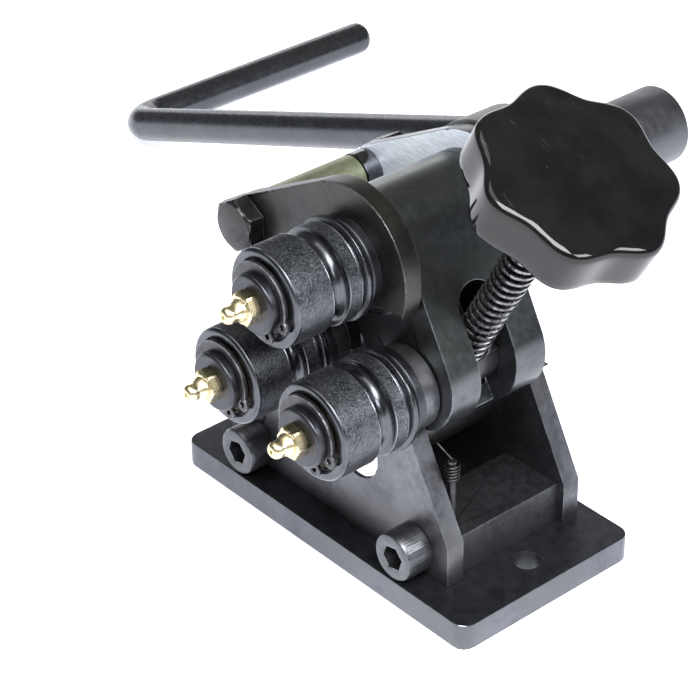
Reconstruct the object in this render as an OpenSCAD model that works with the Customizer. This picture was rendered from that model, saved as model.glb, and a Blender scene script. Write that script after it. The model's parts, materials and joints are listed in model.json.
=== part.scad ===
// Bench-mounted manual tube bender with three grooved rollers, a hand crank and a star-knob screw.
// X runs along the long side of the base, the rollers stand out to -Y and +Z is up.
// The origin is the middle of the base plate's underside. All sizes are in millimetres.

/* [Base] */
// Length of the base plate along X
base_length = 110; // [106:1:140]
// Depth of the base plate along Y
base_depth = 59; // [58:1:70]
// Thickness of the base plate
base_thick = 7.4; // [6:0.2:8]
// Corner radius of the base plate, in plan
base_corner = 4; // [2:0.5:8]
// Diameter of the two bench bolt holes
bench_hole_d = 7; // [5.5:0.5:8]
// Distance between the two bench bolt holes
bench_hole_pitch = 93.2; // [92.8:0.1:95]

/* [Side plates] */
// Thickness of the side plates and of the arm plates
plate_thick = 5.3; // [5:0.1:5.5]
// Height of the upright edge at the foot of each side plate
plate_foot = 11.8; // [10:0.2:13]
// Lean of the sloping edges from upright, in degrees
plate_lean = 28.4; // [27:0.2:29]
// Radius of the ear around each lower roller shaft
ear_r = 11; // [10:0.5:11.5]

/* [Rollers] */
// Outer diameter of each roller over its knurled lands
roller_d = 25.4; // [25:0.1:25.6]
// Length of each roller
roller_length = 23.1; // [22.9:0.1:23.1]
// Diameter of the tube that the groove fits
tube_d = 4.8; // [4:0.1:4.9]
// Half the distance between the two lower rollers
lower_half_pitch = 16.2; // [16:0.1:16.6]
// Height of the lower roller axes above the underside
lower_height = 55.6; // [55.4:0.1:55.8]
// Diameter of the roller shafts
shaft_d = 15.4; // [15:0.1:15.6]

/* [Swing arm] */
// Radius of the arm's round end about the top roller axis
arm_end_r = 20.5; // [19.5:0.5:21]
// Radius of the arm plate about the hinge bolt
arm_tail_r = 6.5; // [6:0.1:7]
// Radius of the fork's lower end about the barrel nut
fork_r = 13.8; // [13:0.1:14]
// Width of the slot in the fork
slot_width = 11.7; // [11:0.1:12]

/* [Screw and knob] */
// Lean of the adjusting screw from upright, in degrees
screw_lean = 29.3; // [29:0.1:29.6]
// Outside diameter of the screw thread
screw_d = 9.6; // [9.4:0.1:10]
// Distance from the anchor pivot to the top rim of the knob
knob_rim_height = 106.5; // [105:0.1:108]
// Radius to the tips of the knob's lobes
knob_tip_r = 25.2; // [24:0.1:27]
// Radius to the hollows between the lobes
knob_hollow_r = 22.6; // [20:0.1:23]
// Height of the knob's side wall
knob_wall = 12.6; // [11:0.1:13]
// Rise of the domed top above the rim
knob_dome = 3; // [2:0.5:4]

/* [Crank] */
// Diameter of the crank rod
crank_d = 11; // [10:0.2:11]
// Distance from the drive shaft to the corner of the crank
crank_reach = 236.5; // [150:0.5:236.5]
// Angle of the crank below level, in degrees
crank_drop = 19.6; // [10:0.1:19.6]
// Length of the crank's grip, from its corner
grip_length = 105.5; // [80:0.5:140]
// Radius of the crank's bend, at the rod's middle
bend_r = 12; // [10:1:20]

/* [Hidden] */
$fn = 64;

// Faces of the side plates along Y
front_face = -21.2;
front_inner = front_face + plate_thick;
rear_inner = 19;
rear_face = rear_inner + plate_thick;
plate_middle_y = (front_inner + rear_inner) / 2;
plate_right = 40.3;
plate_left = -44.5;
rear_top = 48;
bench_hole_right = 45.2;

// Axes that run along Y, as [x, z]
axis_x = 4.1;
top_axis = [axis_x, 85];
left_axis = [axis_x - lower_half_pitch, lower_height];
right_axis = [axis_x + lower_half_pitch, lower_height];
hinge_axis = [-34.2, 80.5];
anchor_axis = [6.6, 31.3];
nut_axis = anchor_axis + 30.05 * [sin(screw_lean), cos(screw_lean)];

// Clearances
run_gap = 0.05;
free_gap = 0.4;

// Rollers and shafts
shaft_r = shaft_d / 2;
roller_r = roller_d / 2;
roller_front = -47.4;
shaft_front = -51.4;
groove_at = 13.55;
groove_cut_r = tube_d / 2 + 0.05;
rim_r = roller_r + 0.7;
bush_r = 9.9;
roller_bush_r = 9;
ring_thick = 1.1;
ring_y = roller_front - free_gap - ring_thick;
ring_groove_r = shaft_r - 0.7;
ring_r = 9.7;

// Spacer bars, cap screws and hinge bolt
bar_height = 11.4;
bar_width = 18.8;
bar_inset = 2.3;
cap_z = 14;
cap_right_x = 28.6;
cap_left_x = -32.8;
m8_r = 4;
cap_head_r = 6.5;
cap_head_h = 8;
hex_flats = 13;
base_screw_r = 2;

// Arm
body_r = 15.8;
body_rear = 16;
ear_sweep_r = ear_r + 11;
housing_r = 21.4;
housing_shoulder = 38;
housing_neck_r = 18;
housing_rear = 46;
hub_front = 48.5;
hub_rear = 88;
hub_r = 10.6;
crank_y = 73.2;
shaft_rear = 66;
trunnion_r = 7.5;

// ---- Shared shapes ----

// A round bar along Y from y0 to y1, about the axis [x, z]
module y_rod(axis, r, y0, y1)
  translate([axis[0], y0, axis[1]]) rotate([-90, 0, 0]) cylinder(r = r, h = y1 - y0);

// A flat outline in X and Z, made solid from y0 to y1
module y_slab(y0, y1)
  translate([0, y1, 0]) rotate([90, 0, 0]) linear_extrude(y1 - y0) children();

// A profile turned about the axis [x, z], with its height running to +Y from y0
module y_turned(axis, y0)
  translate([axis[0], y0, axis[1]]) rotate([-90, 0, 0]) rotate_extrude($fn = 128) children();

// Two circles and the straight sides that touch both
module tangent_bar(c1, r1, c2, r2) {
  d = norm(c2 - c1);
  along = atan2(c2[1] - c1[1], c2[0] - c1[0]);
  spread = acos((r1 - r2) / d);
  translate(c1) circle(r = r1, $fn = 128);
  translate(c2) circle(r = r2, $fn = 96);
  polygon([for (end = [[c1, r1, 1], [c2, r2, 1], [c2, r2, -1], [c1, r1, -1]])
    end[0] + end[1] * [cos(along + end[2] * spread), sin(along + end[2] * spread)]]);
}

// A socket head cap screw: its head's underside at the origin and its shank down -Z
module cap_screw(shank_r, shank_h, head_r, head_h, socket_flats) {
  difference() {
    union() {
      translate([0, 0, head_h - 0.5]) cylinder(r1 = head_r, r2 = head_r - 0.5, h = 0.5);
      cylinder(r = head_r, h = head_h - 0.5);
      translate([0, 0, -shank_h]) cylinder(r = shank_r, h = shank_h);
    }
    translate([0, 0, head_h * 0.45])
      cylinder(d = socket_flats / cos(30), h = head_h, $fn = 6);
  }
}

// The frame that follows the adjusting screw: origin at the anchor, +Z up the screw
module along_screw()
  translate([anchor_axis[0], 0, anchor_axis[1]]) rotate([0, screw_lean, 0]) children();

// ---- Base and frame ----

module rounded_rectangle(width, depth, r) {
  square([width - 2 * r, depth], center = true);
  square([width, depth - 2 * r], center = true);
  for (x = [-1, 1], y = [-1, 1]) translate([x * (width / 2 - r), y * (depth / 2 - r)]) circle(r = r);
}

function bar_middle(side) = side > 0 ? plate_right - bar_inset - bar_width / 2
                                     : plate_left + bar_inset + bar_width / 2;

// Places of the flat-headed screws that hold the spacer bars to the base
module at_base_screws()
  for (side = [-1, 1], x = [-6.7, 6.7]) translate([bar_middle(side) + x, plate_middle_y, 0]) children();

module base_plate() {
  color("#3a3d42") difference() {
    linear_extrude(base_thick) rounded_rectangle(base_length, base_depth, base_corner);
    for (x = [bench_hole_right, bench_hole_right - bench_hole_pitch]) translate([x, plate_middle_y, -1])
      cylinder(d = bench_hole_d, h = base_thick + 2);
    at_base_screws() {
      translate([0, 0, -1]) cylinder(r = base_screw_r + run_gap, h = base_thick + 2);
      translate([0, 0, -0.01]) cylinder(r1 = 4.25, r2 = base_screw_r + run_gap, h = 2.3);
    }
  }
}

module base_screws() {
  color("#2c2e31") at_base_screws() difference() {
    union() {
      translate([0, 0, 0.2]) cylinder(r1 = 4, r2 = base_screw_r, h = 2);
      translate([0, 0, 0.3]) cylinder(r = base_screw_r, h = 15);
    }
    translate([0, 0, -1]) cylinder(d = 2.5 / cos(30), h = 2.6, $fn = 6);
  }
}

// Outline of a side plate: a foot, two sloping edges and an ear for each lower roller
module side_outline() {
  foot_z = base_thick + plate_foot;
  right_rise = lower_height - foot_z;
  left_out = norm(left_axis - [plate_left, foot_z]);
  left_turn = atan2(lower_height - foot_z, left_axis[0] - plate_left) + asin(ear_r / left_out);
  left_reach = sqrt(left_out * left_out - ear_r * ear_r);
  polygon([[plate_left, base_thick], [plate_right, base_thick], [plate_right, foot_z],
    [plate_right - right_rise * tan(plate_lean), lower_height], left_axis,
    [plate_left, foot_z] + left_reach * [cos(left_turn), sin(left_turn)], [plate_left, foot_z]]);
  for (c = [left_axis, right_axis]) translate(c) circle(r = ear_r);
}

// Outline of the rear plate, which ends below the rollers in a flat top between the same slopes
module rear_outline() {
  difference() {
    side_outline();
    translate([plate_left, rear_top]) square([plate_right - plate_left, 40]);
  }
}

module side_plate_holes(y0, cap_hole_r) {
  y_rod(anchor_axis, trunnion_r + run_gap, y0 - 1, y0 + plate_thick + 1);
  for (x = [cap_left_x, cap_right_x]) y_rod([x, cap_z], cap_hole_r, y0 - 1, y0 + plate_thick + 1);
}

module front_side_plate() {
  color("#44474c") difference() {
    y_slab(front_face, front_inner) side_outline();
    side_plate_holes(front_face, m8_r + 0.2);
    for (c = [left_axis, right_axis]) y_rod(c, 6, front_face - 1, front_inner + 1);
  }
}

module rear_side_plate() {
  color("#44474c") difference() {
    y_slab(rear_inner, rear_face) rear_outline();
    side_plate_holes(rear_inner, m8_r);
  }
}

module spacer_bar(side) {
  screw_x = side > 0 ? cap_right_x : cap_left_x;
  difference() {
    translate([bar_middle(side) - bar_width / 2, front_inner, base_thick])
      cube([bar_width, rear_inner - front_inner, bar_height]);
    y_rod([screw_x, cap_z], m8_r + 0.2, front_inner - 1, rear_inner + 1);
    at_base_screws() cylinder(r = base_screw_r, h = 16);
    if (side < 0) at_post_screws() translate([0, 0, -12]) cylinder(r = 2, h = 20);
    if (side > 0) translate([spring_at[0], spring_at[1], spring_pin_base]) cylinder(r = spring_pin_r, h = 20);
  }
}

module left_spacer_bar() { color("#35383c") spacer_bar(-1); }
module right_spacer_bar() { color("#35383c") spacer_bar(1); }

// Long cap screws through the front plate and the bars, threaded into the rear plate
module frame_cap_screws() {
  color("#3b3d42") for (x = [cap_left_x, cap_right_x])
    translate([x, front_face, cap_z]) rotate([90, 0, 0])
      cap_screw(m8_r, rear_face - front_face - 0.3, cap_head_r, cap_head_h, 6);
}

// ---- Hinge post, between the side plates on the left ----

post_foot = [19.6, 34, 5];
post_half = 8;
post_top_r = 5.2;
hinge_tube_r = 5.8;
collar_at = 14;
post_base_z = base_thick + bar_height;

module at_post_screws()
  for (side = [-1, 1])
    translate([-26, plate_middle_y + side * 11.7, post_base_z + post_foot[2]]) children();

module hinge_post() {
  color("#35383c") difference() {
    union() {
      translate([-42, plate_middle_y - post_foot[1] / 2, post_base_z]) cube(post_foot);
      y_slab(plate_middle_y - post_half, plate_middle_y + post_half)
        tangent_bar([-34.2, post_base_z + 8], 7.8, hinge_axis, post_top_r);
    }
    y_rod(hinge_axis, hinge_tube_r, -20, 20);
    at_post_screws() translate([0, 0, -10]) cylinder(r = 2.1, h = 20);
  }
}

module post_screws() { color("#2c2e31") at_post_screws() cap_screw(2, 12, 3.5, 4, 3); }

module hinge_bolt() {
  color("#4b4d50") {
    y_rod(hinge_axis, m8_r - run_gap, front_face, rear_face + 8.5);
    translate([hinge_axis[0], front_face - 5.2, hinge_axis[1]]) rotate([-90, 0, 0]) intersection() {
      cylinder(d = hex_flats / cos(30), h = 5.2, $fn = 6);
      cylinder(r1 = 6.6, r2 = 9.6, h = 5.2);
    }
  }
}

module hinge_nut() {
  color("#4b4d50") difference() {
    translate([hinge_axis[0], rear_face, hinge_axis[1]]) rotate([-90, 0, 0])
      intersection() {
        cylinder(d = hex_flats / cos(30), h = 6.5, $fn = 6);
        cylinder(r1 = 9.6, r2 = 6.6, h = 6.5);
      }
    y_rod(hinge_axis, m8_r - run_gap, rear_face - 1, rear_face + 8);
  }
}

// The tube that the hinge bolt turns in, welded along the top of the post
module hinge_tube() {
  color("#8b9068") difference() {
    y_rod(hinge_axis, hinge_tube_r, front_inner + free_gap, collar_at - free_gap);
    y_rod(hinge_axis, m8_r, front_inner - 1, collar_at + 1);
  }
}

module hinge_collar() {
  color("#2c2e31") difference() {
    y_rod(hinge_axis, hinge_tube_r + 0.2, collar_at, rear_inner);
    y_rod(hinge_axis, m8_r - run_gap, collar_at - 1, rear_inner + 1);
  }
}

// ---- Swing arm ----

module at_housing_screws(y)
  for (a = [45:90:315])
    translate([top_axis[0] + 13 * cos(a), y, top_axis[1] + 13 * sin(a)]) rotate([-90, 0, 0]) children();

module arm_plate(y0) {
  difference() {
    y_slab(y0, y0 + plate_thick) tangent_bar(top_axis, arm_end_r, hinge_axis, arm_tail_r);
    y_rod(hinge_axis, m8_r, y0 - 1, y0 + plate_thick + 1);
    y_rod(top_axis, bush_r, y0 - 1, y0 + plate_thick + 1);
    for (c = [left_axis, right_axis]) y_rod(c, ear_sweep_r, y0 - 1, y0 + plate_thick + 1);
  }
}

module arm_front_plate() { color("#3f4146") arm_plate(front_face); }

module arm_rear_plate() {
  color("#3f4146") difference() {
    arm_plate(rear_inner);
    at_housing_screws(rear_inner - 1) cylinder(r = 1.55, h = plate_thick + 2);
  }
}

// The fork's face that the pocket is cut into, square to the line from the arm to the knob
pocket_turn = 29.07;
pocket_depth = 14.6;
pocket_face = fork_r;
pocket_top = 18.3;
pocket_bottom = -22;

module fork_pocket() {
  translate([nut_axis[0], 0, nut_axis[1]]) rotate([0, -pocket_turn, 0])
    translate([pocket_face - pocket_depth, 0, 0]) rotate([90, 0, 90]) linear_extrude(40) {
      translate([0, pocket_top - slot_width / 2]) circle(d = slot_width);
      translate([-slot_width / 2, pocket_bottom])
        square([slot_width, pocket_top - slot_width / 2 - pocket_bottom]);
    }
  along_screw() translate([-7.2, 0.4 - slot_width / 2, 5]) cube([14.4, slot_width - 0.8, 28]);
}

module arm_body() {
  color("#34373a") difference() {
    union() {
      y_slab(front_inner + free_gap, body_rear) tangent_bar(top_axis, body_r, nut_axis, fork_r);
      y_rod(top_axis, body_r - 0.5, front_inner, front_inner + 2);
    }
    y_rod(top_axis, bush_r, front_inner - 1, body_rear + 1);
    y_rod(nut_axis, trunnion_r + run_gap, front_inner - 1, body_rear + 1);
    fork_pocket();
    at_housing_screws(5) cylinder(r = 1.5, h = 20);
  }
}

module body_spacer() {
  color("#34373a") difference() {
    y_rod(top_axis, body_r, body_rear, rear_inner);
    y_rod(top_axis, bush_r, body_rear - 1, rear_inner + 1);
    at_housing_screws(body_rear - 1) cylinder(r = 1.55, h = 6);
  }
}

module bearing_housing() {
  color("#3a3d42") difference() {
    y_turned(top_axis, rear_face) {
      shoulder = housing_shoulder - rear_face;
      rear = housing_rear - rear_face;
      polygon([[bush_r, 0], [housing_r, 0], [housing_r, shoulder - 0.6], [housing_r - 0.6, shoulder],
        [housing_neck_r, shoulder], [housing_neck_r, rear - 1], [housing_neck_r - 1, rear], [bush_r, rear]]);
    }
    at_housing_screws(rear_face - 1) cylinder(r = 1.55, h = 40);
    at_housing_screws(housing_rear - 4) cylinder(r = 2.85, h = 6);
  }
}

module housing_screws() {
  color("#2c2e31") at_housing_screws(housing_rear - 4) cap_screw(1.5, 35, 2.75, 3, 2.5);
}

module bush(axis, r, y0, y1) {
  difference() {
    y_rod(axis, r, y0, y1);
    y_rod(axis, shaft_r + run_gap, y0 - 1, y1 + 1);
  }
}

module front_bush() { color("#9a7b3c") bush(top_axis, bush_r, front_face, front_face + 20); }
module rear_bush() { color("#9a7b3c") bush(top_axis, bush_r, body_rear - 2, housing_rear); }

module thrust_collar(axis, bore_r) {
  length = front_face - (roller_front + roller_length + free_gap);
  difference() {
    y_turned(axis, front_face - length) polygon([[bore_r, 0], [11.9, 0], [12.3, 0.4], [12.3, length], [bore_r, length]]);
  }
}

module top_thrust_collar() { color("#50545a") thrust_collar(top_axis, shaft_r + run_gap); }
module left_thrust_collar() { color("#50545a") thrust_collar(left_axis, shaft_r); }
module right_thrust_collar() { color("#50545a") thrust_collar(right_axis, shaft_r); }
module rear_thrust_washer() { color("#6b6e72") bush(top_axis, 12.5, housing_rear, housing_rear + 1.6); }

// ---- Rollers, with the profile's height running from the front face to +Y ----

module roller(axis, bore_r) {
  v_at = roller_length - 2.5;
  arc_depth = roller_r - 0.2;
  color("#2e3033") y_turned(axis, roller_front) difference() {
    polygon(concat(
      [[bore_r, 0.6], [9.9, 0.6], [10.2, 0], [roller_r - 0.7, 0], [roller_r, 0.7],
       [roller_r, groove_at - groove_cut_r]],
      [for (a = [0:12:180]) [arc_depth - groove_cut_r * sin(a), groove_at - groove_cut_r * cos(a)]],
      [[roller_r, groove_at + groove_cut_r], [roller_r, v_at - 0.7], [roller_r - 0.9, v_at],
       [rim_r - 0.2, v_at + 0.5], [rim_r, v_at + 0.7], [rim_r, v_at + 1.5], [rim_r - 0.3, v_at + 1.8],
       [roller_r - 0.3, roller_length], [bore_r, roller_length]]));
  }
}

key_size = [3, 14, 3];

module drive_key() {
  color("#6b6e72") translate([top_axis[0] - key_size[0] / 2, -42, top_axis[1] + shaft_r - 1.5]) cube(key_size);
}

module top_roller() {
  color("#2e3033") difference() {
    roller(top_axis, shaft_r);
    translate([top_axis[0] - key_size[0] / 2, -42, top_axis[1]]) cube([key_size[0], key_size[1], shaft_r + 1.5]);
  }
}

module left_roller() { roller(left_axis, roller_bush_r); }
module right_roller() { roller(right_axis, roller_bush_r); }

module roller_bush(axis) {
  color("#9a7b3c") bush(axis, roller_bush_r, roller_front + 0.6, roller_front + roller_length);
}

module left_roller_bush() { roller_bush(left_axis); }
module right_roller_bush() { roller_bush(right_axis); }

// The outer end that every roller shaft shares: a chamfer, a ring groove and a grease nipple hole
module shaft_end(axis, y1) {
  difference() {
    y_turned(axis, shaft_front) polygon([[0, 0], [shaft_r - 0.6, 0], [shaft_r, 0.6],
      [shaft_r, ring_y - shaft_front - run_gap], [ring_groove_r, ring_y - shaft_front - run_gap],
      [ring_groove_r, roller_front - free_gap + run_gap - shaft_front],
      [shaft_r, roller_front - free_gap + run_gap - shaft_front],
      [shaft_r, y1 - shaft_front], [0, y1 - shaft_front]]);
    y_rod(axis, 3, shaft_front - 1, shaft_front + 6);
  }
}

module drive_shaft() {
  color("#55585e") difference() {
    shaft_end(top_axis, shaft_rear);
    translate([top_axis[0] - key_size[0] / 2, -42, top_axis[1] + shaft_r - 1.5])
      cube([key_size[0], key_size[1], 3]);
    y_rod(top_axis, 1.2, shaft_front + 5, -33);
    translate([top_axis[0], hub_front + 6, top_axis[1] + shaft_r - 1.2]) cylinder(r = 2.5, h = 4);
  }
}

module stub_shaft(axis) {
  color("#55585e") {
    shaft_end(axis, front_face);
    y_rod(axis, 6, front_face, front_inner - 0.1);
  }
}

module left_roller_shaft() { stub_shaft(left_axis); }
module right_roller_shaft() { stub_shaft(right_axis); }

// A retaining ring that opens at the lower right, with an eyed lug on each side of its gap
module retaining_ring(axis) {
  gap_turn = -48;
  color("#46494d") translate([axis[0], ring_y, axis[1]]) rotate([-90, 0, 0]) linear_extrude(ring_thick)
    mirror([0, 1]) rotate(gap_turn) difference() {
      union() {
        difference() {
          translate([-0.5, 0]) circle(r = ring_r);
          circle(r = ring_groove_r);
          polygon([[0, 0], [20, -8], [20, 8]]);
        }
        for (side = [-1, 1]) rotate(side * 25) translate([ring_r - 0.9, 0]) circle(r = 1.9);
      }
      for (side = [-1, 1]) rotate(side * 25) translate([ring_r - 0.9, 0]) circle(r = 0.8);
      circle(r = ring_groove_r);
    }
}

module top_retaining_ring() { retaining_ring(top_axis); }
module left_retaining_ring() { retaining_ring(left_axis); }
module right_retaining_ring() { retaining_ring(right_axis); }

// A grease nipple: hexagon, tapered neck and rounded tip, with its thread in the shaft
module grease_nipple(axis) {
  color("#c9a24a") translate([axis[0], shaft_front, axis[1]]) rotate([90, 0, 0]) {
    cylinder(d = 7.5 / cos(30), h = 3.2, $fn = 6);
    rotate_extrude() polygon([[0, -5], [3, -5], [3, 3.6], [2, 4.8], [2, 5.2], [2.4, 5.9], [2.4, 7.1],
      [1.9, 7.9], [1.3, 8.2], [0, 8.2]]);
  }
}

module top_grease_nipple() { grease_nipple(top_axis); }
module left_grease_nipple() { grease_nipple(left_axis); }
module right_grease_nipple() { grease_nipple(right_axis); }

// ---- Crank ----

// The frame that follows the crank: origin inside the hub, +X down the rod, +Y along the grip
module along_crank()
  translate([top_axis[0], crank_y, top_axis[1]]) rotate([0, 180 - crank_drop, 0]) children();

module crank_hub() {
  color("#4d5058") difference() {
    y_turned(top_axis, hub_front) polygon([[0, 0], [hub_r - 0.8, 0], [hub_r, 0.8],
      [hub_r, hub_rear - hub_front - 0.8], [hub_r - 0.8, hub_rear - hub_front], [0, hub_rear - hub_front]]);
    y_rod(top_axis, shaft_r, hub_front - 1, shaft_rear + 0.2);
    along_crank() translate([-30, 0, 0]) rotate([0, 90, 0]) cylinder(d = crank_d, h = 60);
    translate([top_axis[0], hub_front + 6, top_axis[1]]) cylinder(r = 2.5, h = 20);
  }
}

module crank_set_screw() {
  color("#2c2e31") translate([top_axis[0], hub_front + 6, top_axis[1] + shaft_r - 1.2]) difference() {
    cylinder(r = 2.5, h = 4);
    translate([0, 0, 2]) cylinder(d = 2.5 / cos(30), h = 3, $fn = 6);
  }
}

module crank_rod() {
  r = crank_d / 2;
  end_r = 3.5;
  color("#3a3d42") along_crank() {
    translate([-9, 0, 0]) rotate([0, 90, 0]) cylinder(r = r, h = crank_reach - bend_r + 9);
    translate([crank_reach - bend_r, bend_r, 0]) rotate([0, 0, -90])
      rotate_extrude(angle = 90) translate([bend_r, 0]) circle(r = r);
    translate([crank_reach, bend_r, 0]) rotate([-90, 0, 0]) rotate_extrude()
      polygon(concat([[0, 0], [r, 0]],
        [for (a = [0:15:90]) [r - end_r + end_r * cos(a), grip_length - bend_r - end_r + end_r * sin(a)]],
        [[0, grip_length - bend_r]]));
  }
}

// ---- Adjusting screw, its nut, its anchor and its knob ----

screw_r = screw_d / 2;
journal_r = 4;
knob_under = knob_rim_height - knob_wall;

module barrel_nut() {
  color("#55585e") difference() {
    y_rod(nut_axis, trunnion_r, -15, body_rear - 0.5);
    along_screw() translate([0, 0, 10]) cylinder(r = screw_r + 0.4, h = 40);
  }
}

module anchor_barrel() {
  color("#c9cbd0") difference() {
    y_rod(anchor_axis, trunnion_r, front_face + 0.7, rear_face - 0.7);
    along_screw() translate([0, 0, -20]) cylinder(r = journal_r + run_gap, h = 40);
  }
}

module adjusting_screw() {
  color("#3a3a3a") along_screw() rotate_extrude()
    polygon([[0, -13], [journal_r - 0.5, -13], [journal_r, -12.5], [journal_r, 8],
      [screw_r - 0.8, 8], [screw_r, 8.8], [screw_r, knob_under + 8], [0, knob_under + 8]]);
}

module screw_retainer() {
  color("#46494d") along_screw() difference() {
    translate([0, 0, -12.5]) cylinder(d = 10 / cos(30), h = 4.5, $fn = 6);
    translate([0, 0, -14]) cylinder(r = journal_r, h = 8);
  }
}

// Radius of the knob's outline at the angle a
lobes = 7;
lobe_turn = 7.7;
function lobe_radius(a) =
  (knob_tip_r + knob_hollow_r) / 2 + (knob_tip_r - knob_hollow_r) / 2 * cos(lobes * (a - lobe_turn));

module star_knob() {
  top_r = knob_tip_r + 0.1;
  bevel = 2;
  color("#101010") along_screw() difference() {
    translate([0, 0, knob_under]) intersection() {
      linear_extrude(knob_wall + knob_dome + 1)
        polygon([for (a = [0:2:358]) lobe_radius(a) * [cos(a), sin(a)]]);
      rotate_extrude() polygon([[0, 0], [top_r, 0], [top_r, knob_wall - bevel], [knob_hollow_r, knob_wall],
        [knob_hollow_r * 0.6, knob_wall + knob_dome * 0.75], [0, knob_wall + knob_dome]]);
    }
    translate([0, 0, knob_under - 1]) cylinder(r = 7, h = 10);
  }
}

module knob_insert() {
  color("#6b6e72") along_screw() difference() {
    translate([0, 0, knob_under - 1.5]) cylinder(r = 7, h = 10.5);
    translate([0, 0, knob_under - 3]) cylinder(r = screw_r, h = 11);
  }
}

// ---- Torsion spring on an upright pin in the right spacer bar ----

spring_at = [33.4, -13.7];
spring_pin_base = 16.3;
spring_pin_r = 1.1;
spring_coil_r = 1.7;
spring_wire = 0.7;
spring_turns = 5;
spring_low = 33.4;
spring_high = 38;
leg_run = [-3.4, 2.2];

module spring_pin() {
  color("#6b6e72") translate([spring_at[0], spring_at[1], spring_pin_base])
    cylinder(r = spring_pin_r, h = spring_high + 0.6 - spring_pin_base);
}

module torsion_spring() {
  leg_length = norm(leg_run);
  color("#9a9ca0") translate([spring_at[0], spring_at[1], 0]) {
    translate([0, 0, spring_low])
      linear_extrude(spring_high - spring_low, twist = -360 * spring_turns, slices = 20 * spring_turns, $fn = 6)
        translate([spring_coil_r, 0]) circle(d = spring_wire, $fn = 6);
    translate([spring_coil_r, 0, post_base_z])
      cylinder(d = spring_wire, h = spring_low + spring_wire / 2 - post_base_z);
    translate([0, -spring_coil_r, spring_high]) rotate([0, atan2(leg_run[0], leg_run[1]), 0])
      cylinder(d = spring_wire, h = leg_length);
  }
}

base_plate();
front_side_plate();
rear_side_plate();
left_spacer_bar();
right_spacer_bar();
frame_cap_screws();
base_screws();
hinge_post();
post_screws();
hinge_bolt();
hinge_nut();
hinge_tube();
hinge_collar();
arm_front_plate();
arm_rear_plate();
arm_body();
body_spacer();
bearing_housing();
housing_screws();
front_bush();
rear_bush();
top_thrust_collar();
rear_thrust_washer();
drive_shaft();
top_roller();
drive_key();
top_retaining_ring();
top_grease_nipple();
crank_hub();
crank_rod();
crank_set_screw();
left_roller();
left_roller_bush();
left_roller_shaft();
left_thrust_collar();
left_retaining_ring();
left_grease_nipple();
right_roller();
right_roller_bush();
right_roller_shaft();
right_thrust_collar();
right_retaining_ring();
right_grease_nipple();
barrel_nut();
anchor_barrel();
adjusting_screw();
screw_retainer();
star_knob();
knob_insert();
torsion_spring();
spring_pin();
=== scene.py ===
"""Looks for a bench-mounted manual tube bender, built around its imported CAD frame.

Lengths inside the shape functions are millimetres; make_piece() turns them into metres.
"""

import json
import math
import random
import bpy
from mathutils import Matrix, Vector


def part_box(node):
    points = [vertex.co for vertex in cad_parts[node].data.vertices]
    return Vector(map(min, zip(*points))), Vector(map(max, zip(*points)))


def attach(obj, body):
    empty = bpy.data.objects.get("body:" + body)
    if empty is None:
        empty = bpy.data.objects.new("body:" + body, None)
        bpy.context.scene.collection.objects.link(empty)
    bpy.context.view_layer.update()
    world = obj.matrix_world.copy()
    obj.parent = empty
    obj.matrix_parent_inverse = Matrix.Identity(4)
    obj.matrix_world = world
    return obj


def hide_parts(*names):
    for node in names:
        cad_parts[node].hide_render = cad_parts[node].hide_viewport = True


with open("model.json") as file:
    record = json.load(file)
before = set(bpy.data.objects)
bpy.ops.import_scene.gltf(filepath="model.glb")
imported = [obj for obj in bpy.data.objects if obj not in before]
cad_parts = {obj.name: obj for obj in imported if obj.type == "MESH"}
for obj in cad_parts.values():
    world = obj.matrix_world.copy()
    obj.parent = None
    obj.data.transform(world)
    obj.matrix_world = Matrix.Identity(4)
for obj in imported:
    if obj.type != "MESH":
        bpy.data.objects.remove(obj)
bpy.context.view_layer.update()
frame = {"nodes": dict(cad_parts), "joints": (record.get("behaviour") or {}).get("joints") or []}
MM = 0.001
JOINTS = {joint["name"]: joint for joint in frame["joints"]}


# ---- Camera, floor and light ----

CAMERA_AT = (0.379407, -0.343179, 0.373617)
CAMERA_AZIMUTH = 49.531
CAMERA_ELEVATION = 32.105
CAMERA_ROLL = -0.716
CAMERA_LENS = 122.8
CAMERA_SHIFT = (0.0090, -0.0164)


def turn(degrees, axis):
    return Matrix.Rotation(math.radians(degrees), 4, axis)


def add_camera():
    data = bpy.data.cameras.new("camera")
    data.lens = CAMERA_LENS
    data.sensor_width = 36
    data.shift_x, data.shift_y = CAMERA_SHIFT
    data.clip_start = 0.01
    camera = bpy.data.objects.new("camera", data)
    camera.matrix_world = (Matrix.Translation(CAMERA_AT) @ turn(CAMERA_AZIMUTH, "Z")
                           @ turn(90 - CAMERA_ELEVATION, "X") @ turn(CAMERA_ROLL, "Z"))
    bpy.context.scene.collection.objects.link(camera)
    bpy.context.scene.camera = camera


def add_softbox(name, at, size, watts, tint=(1, 1, 1), aim=(0, 0, 0.05)):
    data = bpy.data.lights.new(name, "AREA")
    data.shape = "RECTANGLE"
    data.size, data.size_y = size
    data.energy = watts
    data.color = tint
    box = bpy.data.objects.new(name, data)
    box.location = at
    box.rotation_euler = (Vector(aim) - Vector(at)).to_track_quat("-Z", "Y").to_euler()
    bpy.context.scene.collection.objects.link(box)


# ---- Node helpers ----

def add(tree, kind, inputs=None, **settings):
    """A shader node; an input is given a plain value or another node's output."""
    made = tree.nodes.new("ShaderNode" + kind)
    for key, value in settings.items():
        setattr(made, key, value)
    for key, value in (inputs or {}).items():
        if isinstance(value, bpy.types.NodeSocket):
            tree.links.new(value, made.inputs[key])
        else:
            made.inputs[key].default_value = value
    return made


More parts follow.
